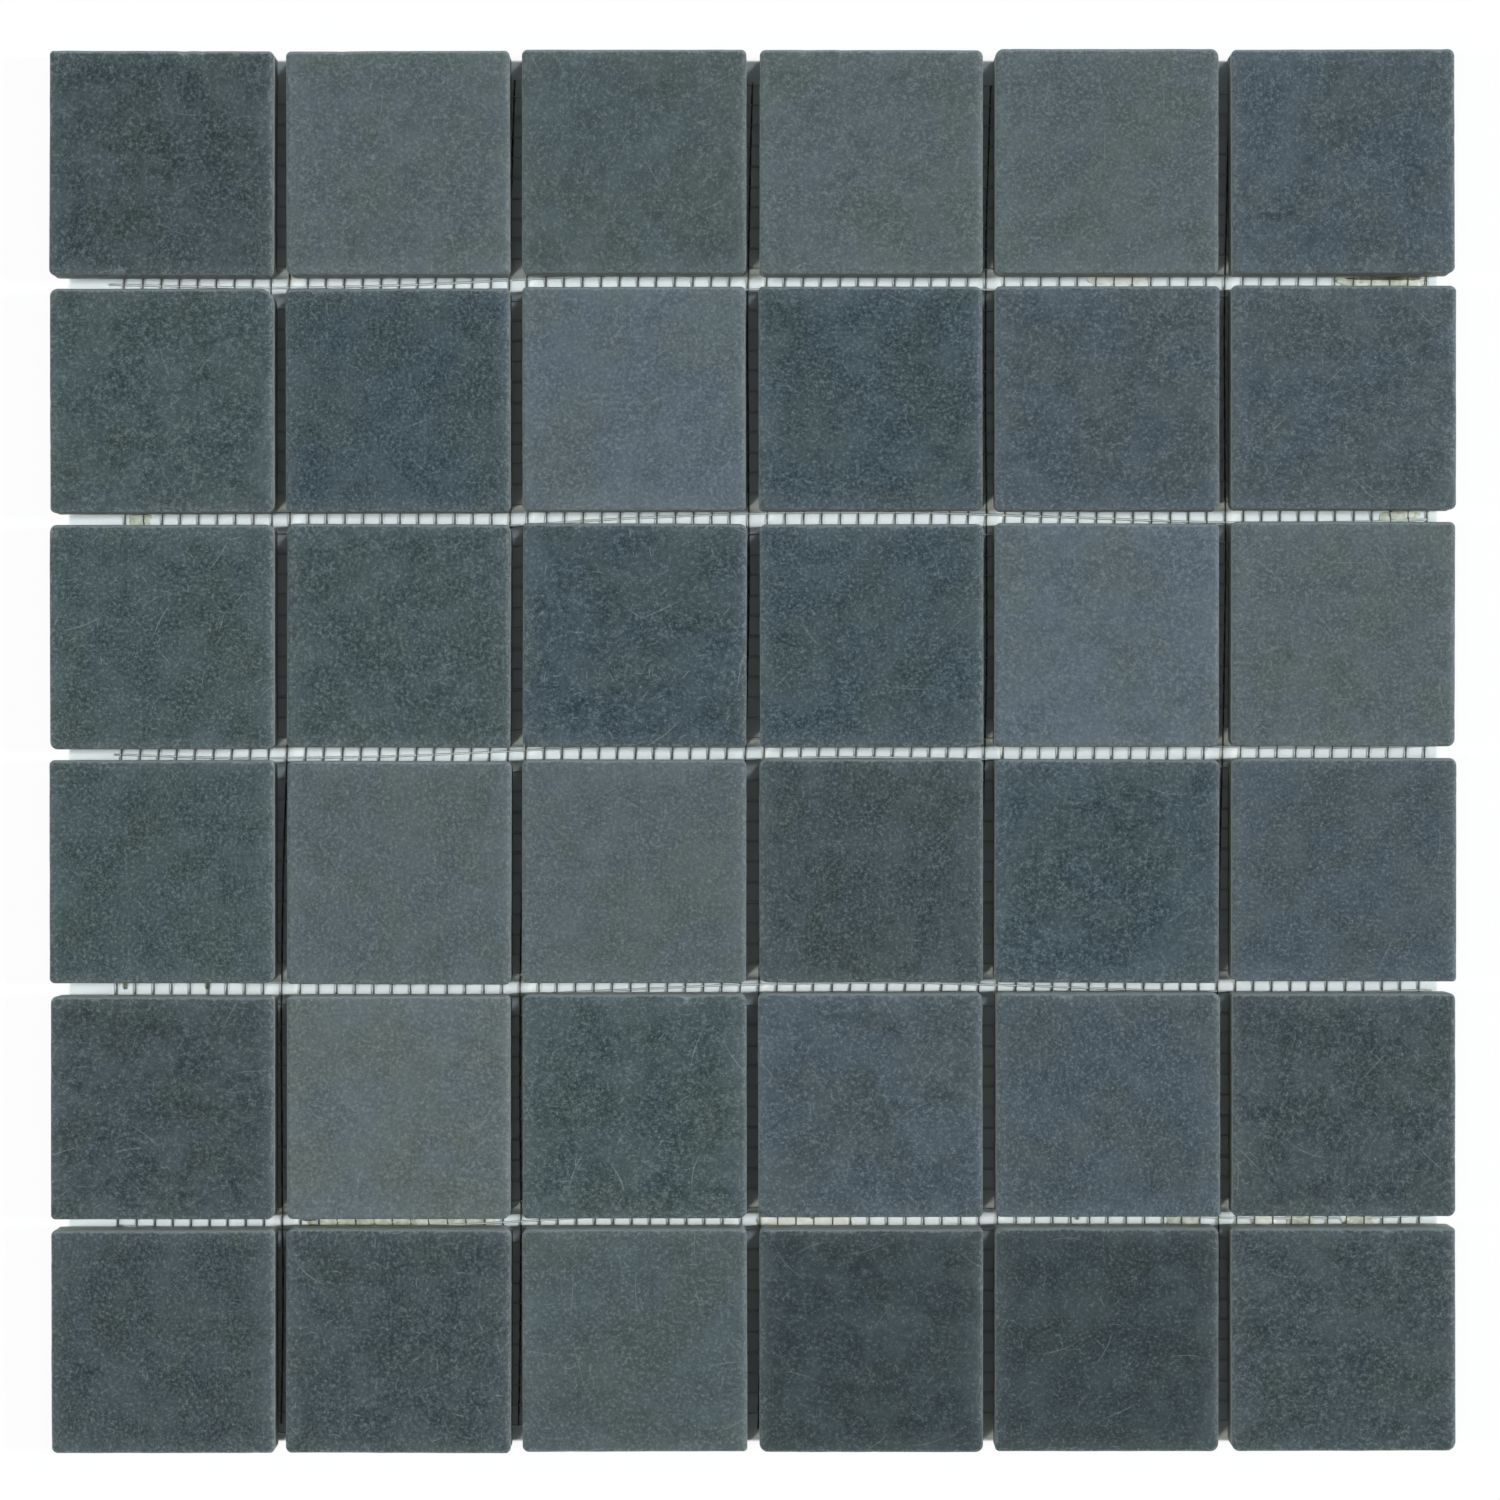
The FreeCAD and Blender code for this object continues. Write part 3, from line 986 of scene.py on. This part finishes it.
    def warp_strand(
        self, seat: Seat, weft: np.ndarray, lines: np.ndarray, drift: np.ndarray,
        along: np.ndarray, way: int, material: Material,
    ) -> Object:
        """One strand of each warp pair: it turns half round its partner from weft to weft.

        Args:
            seat: the warp node's seat.
            weft: the weft lines that it grips.
            lines: the warp lines.
            drift: how far each warp wanders.
            along: the places along the warps.
            way: 1 for the strand that starts on top, -1 for its partner.
            material: the yarn's finish.

        Returns:
            The strands as one piece.
        """
        phase = math.pi * np.interp(along, weft, np.arange(len(weft)))
        before = (along - weft[0]) / (weft[1] - weft[0])
        after = (along - weft[-1]) / (weft[1] - weft[0]) + len(weft) - 1
        phase = np.where(along < weft[0], math.pi * before, phase)
        phase = np.where(along > weft[-1], math.pi * after, phase)
        rise = self.middle - self.play - self.strand_thickness / 2
        phase = phase[None, :] + math.pi * (np.arange(len(lines))[:, None] % 2)
        across = lines[:, None] + drift + way * self.twist_side * np.sin(phase)
        height = self.middle + way * rise * np.cos(phase)
        path = np.stack([across, np.broadcast_to(along, across.shape), height], -1)
        half_width = np.full(across.shape, self.strand_width / 2)
        name = "net_warp_strand_over" if way > 0 else "net_warp_strand_under"
        piece = self.yarns(name, seat, 1, path, half_width, self.strand_thickness / 2, material)
        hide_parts(self.warp_node)
        return piece

    def wefts(
        self, seat: Seat, warp: np.ndarray, lines: np.ndarray, material: Material
    ) -> Object:
        """The flat weft rovings, drawn in a little at each warp that grips them.

        Args:
            seat: the weft node's seat.
            warp: the warp lines that grip them.
            lines: the weft lines.
            material: the roving's finish.

        Returns:
            The rovings as one piece.
        """
        rng = np.random.default_rng(31)
        pitch = warp[1] - warp[0]
        along = self.places(seat, 0, pitch, self.samples_weft)
        across = lines[:, None] + self.drift(rng, len(lines), along, self.weft_bow)
        height = np.full(across.shape, self.middle)
        path = np.stack([np.broadcast_to(along, across.shape), across, height], -1)
        grip = 0.5 + 0.5 * np.cos(2 * math.pi * (along - warp[0]) / pitch)
        first, second = self.sides(seat, 1)[:2]
        width = (second - first) * (1 - self.weft_pinch * grip)
        half_width = width / 2 * rng.uniform(*self.weft_widths, (len(lines), 1))
        piece = self.yarns(
            "net_weft_rovings", seat, 0, path, half_width, self.weft_thickness / 2, material
        )
        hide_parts(self.weft_node)
        return piece

    def build(self) -> list[Object]:
        """Measures the CAD yarns and builds both strands of the warps, and the wefts.

        Returns:
            The three pieces.
        """
        warp_seat, weft_seat = Seat.of(self.warp_node), Seat.of(self.weft_node)
        warp, weft = self.lines(warp_seat, 0), self.lines(weft_seat, 1)
        along = self.places(warp_seat, 1, weft[1] - weft[0], self.samples_warp)
        drift = self.drift(np.random.default_rng(23), len(warp), along, self.warp_bow)
        dark = Yarn.WARP.value.material()
        strands = [
            self.warp_strand(warp_seat, weft, warp, drift, along, way, dark) for way in (1, -1)
        ]
        return [*strands, self.wefts(weft_seat, warp, weft, Yarn.WEFT.value.material())]


# Adhesive


@dataclass(frozen=True)
class Patch:
    """A pad of adhesive that shows in a joint which runs across the sheet.

    Args:
        joint: the joint's number, counted from the top.
        across: where the pad's middle is, in millimetres from the sheet's middle.
        half_size: half its length and width in millimetres.
        kind: how thick it lies; the olive kind along a joint's upper edge is painted shade.
        offset: how far above the joint's middle it is, in millimetres.
    """

    joint: int
    across: float
    half_size: tuple[float, float]
    kind: Adhesive
    offset: float = 0.0


PATCHES = (
    Patch(1, 135.5, (10.0, 1.7), Adhesive.SAGE),
    # Painted shade under the upper chip's edge, in olive
    Patch(1, 136.0, (9.0, 0.5), Adhesive.OLIVE_AND_PAINTED_SHADE, 1.3),
    Patch(1, 131.5, (1.9, 0.9), Adhesive.CREAM, -0.3),
    Patch(1, 142.5, (1.6, 0.8), Adhesive.CREAM, 0.2),
    Patch(1, 79.0, (6.8, 1.0), Adhesive.CREAM, 0.9),
    Patch(2, -132.2, (2.4, 1.7), Adhesive.SAGE, -0.2),
    # Painted shade under the upper chip's edge, in olive
    Patch(2, -132.2, (2.2, 0.6), Adhesive.OLIVE_AND_PAINTED_SHADE, 1.3),
    Patch(2, 139.5, (4.4, 1.7), Adhesive.SAGE),
    Patch(2, 141.6, (1.3, 0.8), Adhesive.CREAM, 0.9),
    Patch(4, -135.4, (0.45, 1.0), Adhesive.OLIVE_AND_PAINTED_SHADE, 0.3),
    Patch(4, -117.6, (0.5, 0.9), Adhesive.OLIVE_AND_PAINTED_SHADE, 0.2),
    Patch(5, -95.6, (1.7, 0.9), Adhesive.OLIVE_AND_PAINTED_SHADE, 0.4),
    Patch(5, -76.0, (21.0, 1.7), Adhesive.SAGE),
    Patch(5, 11.5, (11.0, 1.7), Adhesive.CREAM),
    Patch(5, 12.7, (0.45, 0.4), Adhesive.OLIVE_AND_PAINTED_SHADE, 0.3),
    Patch(5, 70.0, (0.4, 0.35), Adhesive.OLIVE_AND_PAINTED_SHADE, 0.2),
    Patch(5, 92.8, (3.6, 1.7), Adhesive.SAGE),
    Patch(5, 110.3, (3.0, 1.7), Adhesive.CREAM),
    Patch(5, 118.2, (3.4, 1.7), Adhesive.SAGE),
    Patch(5, 130.5, (3.6, 1.7), Adhesive.SAGE),
    Patch(5, 127.8, (1.2, 0.9), Adhesive.CREAM, 0.3),
)


# The kinds of pad from the lowest to the topmost
PAD_LAYERS = (Adhesive.SAGE, Adhesive.CREAM, Adhesive.OLIVE_AND_PAINTED_SHADE)


@dataclass
class AdhesiveFilm:
    """The adhesive: a thin uneven film on the back of each chip, and pads in some joints."""

    back_steps: int = 26
    back_reach: tuple[float, float] = (0.03, 0.97)
    back_border: float = 0.05
    back_waves: int = 7
    back_turns: float = 14.0
    back_cover: float = 0.47
    film: float = 0.16 * MM
    pad_height: float = 0.36 * MM
    pad_foot: float = 0.03 * MM
    over_film: float = 0.03 * MM
    pad_rings: int = 10
    pad_steps: int = 48

    def back(self, rng: np.random.Generator, seat: Seat) -> tuple[np.ndarray, list[np.ndarray]]:
        """A film under one chip: a square grid whose height is a sum of waves.

        Where the waves are low the film is drawn up into the stone and is not seen, so that what
        is left has an uneven outline. Its back is a fan of triangles to one point in the stone.

        Args:
            rng: the source of the waves.
            seat: the chip's seat.

        Returns:
            The points and the faces.
        """
        steps = self.back_steps
        low, size = seat.low, seat.high - seat.low
        share = np.linspace(*self.back_reach, steps + 1)
        across, down = np.meshgrid(share, share, indexing="ij")
        relief = np.zeros_like(across)
        for _ in range(self.back_waves):
            ways = rng.uniform(-1, 1, 2) * self.back_turns
            relief += np.sin(ways[0] * across + ways[1] * down + rng.uniform(0, 6.3))
        edge = np.minimum(np.minimum(across, 1 - across), np.minimum(down, 1 - down))
        depth = self.film * np.clip(relief / self.back_waves + self.back_cover, -0.6, 1.0)
        depth = np.where(edge < self.back_border, -0.5 * self.film, depth)
        grid = np.stack(
            [low[0] + size[0] * across, low[1] + size[1] * down, low[2] - depth], -1
        ).reshape(-1, 3)
        numbers = np.arange((steps + 1) ** 2).reshape(steps + 1, steps + 1)
        quads = np.stack(
            [numbers[:-1, :-1], numbers[:-1, 1:], numbers[1:, 1:], numbers[1:, :-1]], -1
        ).reshape(-1, 4)
        rim = np.concatenate(
            [numbers[:-1, 0], numbers[-1, :-1], numbers[:0:-1, -1], numbers[0, :0:-1]]
        )
        middle = np.append((seat.low + seat.high)[:2] / 2, low[2] + self.film)
        return seat.placed(np.vstack([grid, middle])), [quads, fan(len(grid), rim)]

    def pad(
        self, rng: np.random.Generator, patch: Patch, level: float
    ) -> tuple[np.ndarray, list[np.ndarray]]:
        """A pad in a joint: rings round its centre under a flat dome with a ragged outline.

        The outline is a rounded block, for the adhesive fills the net's meshes: the square roots
        of the cosine and of the sine of the angle, each with its sign, times a periodic noise.
        Thick adhesive lies over thin, and olive smears, some of them painted shade, over both.

        Args:
            rng: the source of the outline.
            patch: the pad's place and size.
            level: how far up the sheet its middle is, in millimetres.

        Returns:
            The points and the faces.
        """
        turn = np.arange(self.pad_steps) / self.pad_steps
        outline = 0.78 + 0.36 * periodic_noise(rng, turn, (2, 3, 5, 9, 14, 19))
        share = np.linspace(0.08, 1, self.pad_rings)[:, None]
        angle = 2 * math.pi * turn
        wide, tall = (
            np.sign(wave) * np.sqrt(np.abs(wave)) for wave in (np.cos(angle), np.sin(angle))
        )
        across = patch.across + patch.half_size[0] * share * outline * wide
        down = level + patch.half_size[1] * share * outline * tall
        lumps = 0.75 + 0.25 * np.sin(across * 2.3 + 1.1) * np.sin(down * 2.9 + 0.4)
        height = self.pad_foot + (self.pad_height - self.pad_foot) * (1 - share**6) * lumps
        upper = np.stack([across * MM, down * MM, height], -1).reshape(-1, 3)
        foot = upper[-self.pad_steps:] * [1, 1, 0] + [0, 0, self.pad_foot * 0.3]
        centre = np.array([patch.across * MM, level * MM, 0.0])
        poles = centre + np.array([[0, 0, self.pad_height * 0.9], [0, 0, self.pad_foot * 0.3]])
        points = np.vstack([upper, foot, poles])
        points[:, 2] += self.over_film * PAD_LAYERS.index(patch.kind)
        first, last = np.arange(self.pad_steps), np.arange(self.pad_steps) + len(upper)
        fans = [fan(len(points) - 2, first), fan(len(points) - 1, last[::-1])]
        return points, [ring_faces(self.pad_rings + 1, self.pad_steps), *fans]

    def join(
        self, name: str, kind: Adhesive, parts: list[tuple[np.ndarray, list[np.ndarray]]]
    ) -> Object:
        """Joins films or pads into one piece.

        Args:
            name: the piece's name.
            kind: how thick the adhesive lies.
            parts: the points and faces of each film or pad.

        Returns:
            The piece.
        """
        points, faces, start = [], [], 0
        for part_points, part_faces in parts:
            points.append(part_points)
            faces.extend(face + start for face in part_faces)
            start += len(part_points)
        return new_piece(name, np.vstack(points), faces, kind.value.material(), {})

    def build(self, seats: Sequence[Sequence[Seat]]) -> list[Object]:
        """Builds the film on the chips' backs and the pads in the joints.

        Args:
            seats: the seats of the chips, row by row from the top.

        Returns:
            The pieces of adhesive.
        """
        rng = np.random.default_rng(47)
        backs = [self.back(rng, seat) for row in seats for seat in row]
        pieces = [self.join("adhesive_on_backs", Adhesive.FILM, backs)]
        lows = [np.mean([seat.low[1] for seat in row]) for row in seats]
        highs = [np.mean([seat.high[1] for seat in row]) for row in seats]
        joints = [(low + high) / 2 / MM for low, high in zip(lows, highs[1:])]
        for kind in (Adhesive.CREAM, Adhesive.SAGE, Adhesive.OLIVE_AND_PAINTED_SHADE):
            pads = [
                self.pad(rng, patch, joints[patch.joint - 1] + patch.offset)
                for patch in PATCHES
                if patch.kind is kind
            ]
            pieces.append(self.join(f"adhesive_pads_{kind.name.lower()}", kind, pads))
        return pieces


# Studio


@dataclass(frozen=True)
class Lamp:
    """A far lamp.

    Args:
        name: the lamp's name.
        level: how brightly it lights a level white surface, where 1 is white.
        heading: where it stands round the sheet, in degrees from the right, turning left.
        height: how high it stands over the horizon, in degrees.
        softness: how wide it looks from the sheet, in degrees.
        colour: the colour of its light.
    """

    name: str
    level: float
    heading: float
    height: float
    softness: float
    colour: str = "#ffffff"

    def build(self) -> None:
        """Adds the lamp to the scene."""
        data = bpy.data.lights.new(self.name, "SUN")
        data.energy = math.pi * self.level / math.sin(math.radians(self.height))
        data.angle = math.radians(self.softness)
        data.color = linear(self.colour)[:3]
        lamp = add_object(self.name, data)
        lamp.rotation_euler = (0, math.radians(90 - self.height), math.radians(self.heading))


@dataclass
class Studio:
    """The camera, the pale table and the light.

    Two lamps stand at the right and left, so they look along the joints that run across the
    sheet and leave those that run down it dark. A cool one at the upper right and a warm one at
    the lower left graze the crossings of the joints. The sky fills in.
    """

    camera_place: tuple[float, float, float] = (-0.64 * MM, 0.16 * MM, 1.1105)
    lens_mm: float = 123.5
    sensor_mm: float = 36.0
    table_half: float = 3.0
    table_drop: float = 0.02 * MM
    table_colour: str = "#eef7f9"
    glow_inside: tuple[float, float] = (3.4 * MM, 1.7 * MM)
    glow_fade: float = 0.7 * MM
    glow_share: float = 0.94
    sky_zenith: float = 0.088
    sky_horizon: float = 0.256
    light_below: float = 0.8
    sky_colour: str = "#ffffff"
    lamps: tuple[Lamp, ...] = (
        Lamp("lamp_right", 0.5, 2.5, 40.0, 7.0),
        Lamp("lamp_left", 0.22, 182.5, 40.0, 7.0),
        Lamp("lamp_upper_right", 0.14, 47.0, 60.0, 9.0, "#e8f3ff"),
        Lamp("lamp_lower_left", 0.19, 223.0, 63.0, 7.0, "#fff6ea"),
    )

    def camera(self) -> None:
        """Sets the camera straight above the sheet."""
        data = bpy.data.cameras.new("camera")
        data.lens, data.sensor_width = self.lens_mm, self.sensor_mm
        data.clip_start, data.clip_end = 0.01, 20
        camera = add_object("camera", data)
        camera.location = self.camera_place
        bpy.context.scene.camera = camera

    def sky(self) -> None:
        """Fills the sky: brighter towards the horizon, and plain white where the camera sees it.

        Under the table it is bright, which only the back of the sheet gets to see.
        """
        world = bpy.data.worlds.new("studio_sky")
        world.use_nodes = True
        tree = world.node_tree
        tree.nodes.clear()
        place = add_node(tree, "TexCoord").outputs["Generated"]
        rise = add_node(tree, "SeparateXYZ", {0: place}).outputs["Z"]
        above = rescale(tree, rise, (0.1, 0.75), (self.sky_horizon, self.sky_zenith), smooth=True)
        under = rescale(tree, rise, (-0.3, -0.05), (self.light_below, 0))
        light = calculate(tree, "MAXIMUM", above, under)
        seen = add_node(tree, "LightPath").outputs["Is Camera Ray"]
        inputs = {0: seen, 2: light, 3: 1.0}
        strength = add_node(tree, "Mix", inputs, data_type="FLOAT").outputs[0]
        inputs = {"Color": linear(self.sky_colour), "Strength": strength}
        sky = add_node(tree, "Background", inputs).outputs[0]
        add_node(tree, "OutputWorld", {"Surface": sky})
        bpy.context.scene.world = world

    def table(self) -> Object:
        """Lays the table: a wide flat sheet that the camera sees as white beyond the tile sheet.

        Under the tile sheet it is plain matt white, so the joints keep their own light and shade.
        From below it lets the camera and the light through, so that the back can be looked at.

        Returns:
            The table.
        """
        half, drop = self.table_half, -self.table_drop
        mesh = bpy.data.meshes.new("table")
        turns = ((-1, -1), (1, -1), (1, 1), (-1, 1))
        corners = [(half * across, half * up, drop) for across, up in turns]
        mesh.from_pydata(corners, [], [(0, 1, 2, 3)])
        material, tree = new_material("table_matt_white")
        place = add_node(tree, "TexCoord").outputs["Object"]
        parts = add_node(tree, "SeparateXYZ", {0: place}).outputs
        path = add_node(tree, "LightPath").outputs
        edges = (("X", CAD_HIGH.x - self.glow_inside[0]), ("Y", CAD_HIGH.y - self.glow_inside[1]))
        reach = []
        for axis, start in edges:
            size = calculate(tree, "ABSOLUTE", parts[axis])
            reach.append(rescale(tree, size, (start, start + self.glow_fade), smooth=True))
        beyond = calculate(tree, "MAXIMUM", *reach)
        seen = calculate(tree, "MULTIPLY", beyond, path["Is Camera Ray"])
        share = calculate(tree, "MULTIPLY", seen, self.glow_share)
        matt = add_node(tree, "BsdfDiffuse", {"Color": linear(self.table_colour)}).outputs[0]
        glow = add_node(tree, "Emission", {"Strength": 1.0}).outputs[0]
        top = add_node(tree, "MixShader", {0: share, 1: matt, 2: glow}).outputs[0]
        through = calculate(tree, "GREATER_THAN", path["Transparent Depth"], 0.5)
        below = add_node(tree, "NewGeometry").outputs["Backfacing"]
        clear = calculate(tree, "MAXIMUM", through, below)
        gone = add_node(tree, "BsdfTransparent").outputs[0]
        both = add_node(tree, "MixShader", {0: clear, 1: top, 2: gone}).outputs[0]
        add_node(tree, "OutputMaterial", {"Surface": both})
        mesh.materials.append(material)
        table = add_object("table", mesh)
        return table

    def build(self) -> None:
        """Sets up the whole studio."""
        self.camera()
        for lamp in self.lamps:
            lamp.build()
        self.sky()
        self.table()
        bpy.context.scene.view_settings.view_transform = "Standard"


def main() -> None:
    """Builds the sheet piece by piece and reports each one."""
    logging.basicConfig(level=logging.INFO, format="%(name)s: %(message)s")
    seats = [
        [Seat.of(f"chip_r{row}_c{column}") for column in range(1, 7)] for row in range(1, 7)
    ]
    pieces = StoneChips().build() + Net().build() + AdhesiveFilm().build(seats)
    for piece in pieces:
        piece.data.calc_loop_triangles()
        LOG.info("%s: %d triangles", piece.name, len(piece.data.loop_triangles))
    total = sum(len(piece.data.loop_triangles) for piece in pieces)
    LOG.info("%d pieces, %d triangles in all", len(pieces), total)
    Studio().build()


if __name__ == "__main__":
    main()
